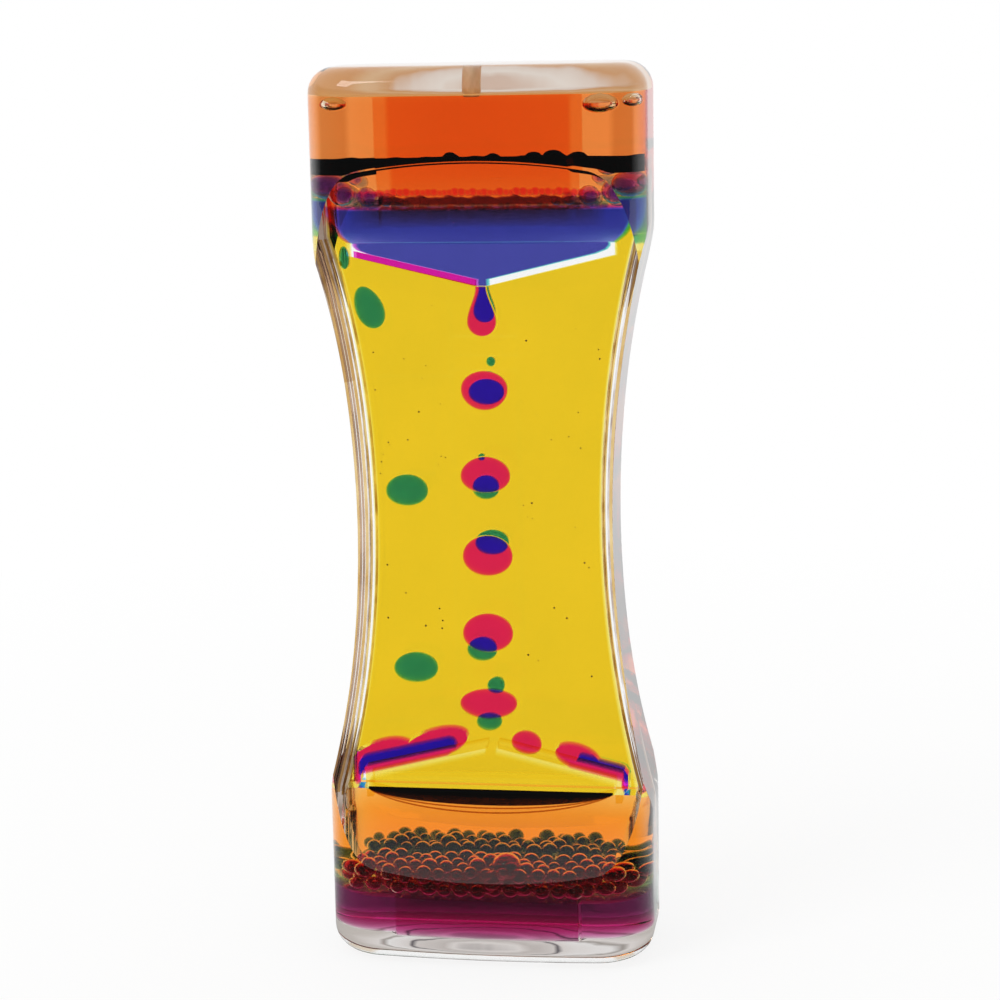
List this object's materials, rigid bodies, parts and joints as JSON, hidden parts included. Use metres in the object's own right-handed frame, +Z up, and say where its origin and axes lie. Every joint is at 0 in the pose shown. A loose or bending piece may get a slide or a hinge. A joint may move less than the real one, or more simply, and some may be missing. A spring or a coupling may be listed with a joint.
{
  "type": "liquid motion timer",
  "caption": "Clear waisted acrylic liquid timer; coloured water drips through funnels in yellow oil in a front and a rear chamber, and it is turned over to run again.",
  "frame": {"origin": "middle of the base, on the surface that it stands on", "axes": "+Z up along the height, +X to the right seen from the front, -Y to the front"},
  "size_m": [0.0516, 0.028, 0.14],
  "materials": {
    "clear_acrylic": "clear polished acrylic",
    "plug_plastic": "tan glue and plug",
    "yellow_oil": "clear yellow oil",
    "magenta_water": "clear magenta water",
    "cyan_water": "clear blue water"
  },
  "bodies": {
    "case": {"divider_plate": "clear_acrylic", "front_fill_plug": "plug_plastic", "front_hanging_drop": "magenta_water", "front_left_puddle": "magenta_water", "front_lower_foam": "magenta_water", "front_lower_left_ramp": "clear_acrylic", "front_lower_pool": "magenta_water", "front_lower_right_ramp": "clear_acrylic", "front_oil": "yellow_oil", "front_right_puddle": "magenta_water", "front_shell": "clear_acrylic", "front_upper_foam": "magenta_water", "front_upper_left_ramp": "clear_acrylic", "front_upper_pool": "magenta_water", "front_upper_right_ramp": "clear_acrylic", "rear_fill_plug": "plug_plastic", "rear_hanging_drop": "cyan_water", "rear_left_puddle": "cyan_water", "rear_lower_foam": "cyan_water", "rear_lower_left_ramp": "clear_acrylic", "rear_lower_pool": "cyan_water", "rear_lower_right_ramp": "clear_acrylic", "rear_oil": "yellow_oil", "rear_right_puddle": "cyan_water", "rear_shell": "clear_acrylic", "rear_upper_foam": "cyan_water", "rear_upper_left_ramp": "clear_acrylic", "rear_upper_pool": "cyan_water", "rear_upper_right_ramp": "clear_acrylic", "roof_drop": "cyan_water", "wall_drop": "cyan_water"},
    "front_row": {"front_drop_1": "magenta_water", "front_drop_2": "magenta_water", "front_drop_3": "magenta_water", "front_drop_4": "magenta_water", "front_drop_5": "magenta_water"},
    "rear_row": {"rear_drop_1": "cyan_water", "rear_drop_2": "cyan_water", "rear_drop_3": "cyan_water", "rear_drop_4": "cyan_water", "rear_drop_5": "cyan_water", "rear_drop_6": "cyan_water", "rear_drop_7": "cyan_water"},
    "side_row": {"side_drop_1": "cyan_water", "side_drop_2": "cyan_water"},
    "ramp_runner": {"ramp_drop": "magenta_water"}
  },
  "joints": [
    {"name": "front_row_fall", "type": "slide", "parent": "case", "child": "front_row", "axis": [0, 0, -1], "range_m": [-0.005, 0.0018]},
    {"name": "rear_row_fall", "type": "slide", "parent": "case", "child": "rear_row", "axis": [0, 0, -1], "range_m": [-0.003, 0.0032]},
    {"name": "side_row_fall", "type": "slide", "parent": "case", "child": "side_row", "axis": [0, 0, -1], "range_m": [-0.012, 0.006]},
    {"name": "ramp_drop_slide", "type": "slide", "parent": "case", "child": "ramp_runner", "axis": [0.9703, 0, -0.2419], "range_m": [0, 0.0016]}
  ]
}
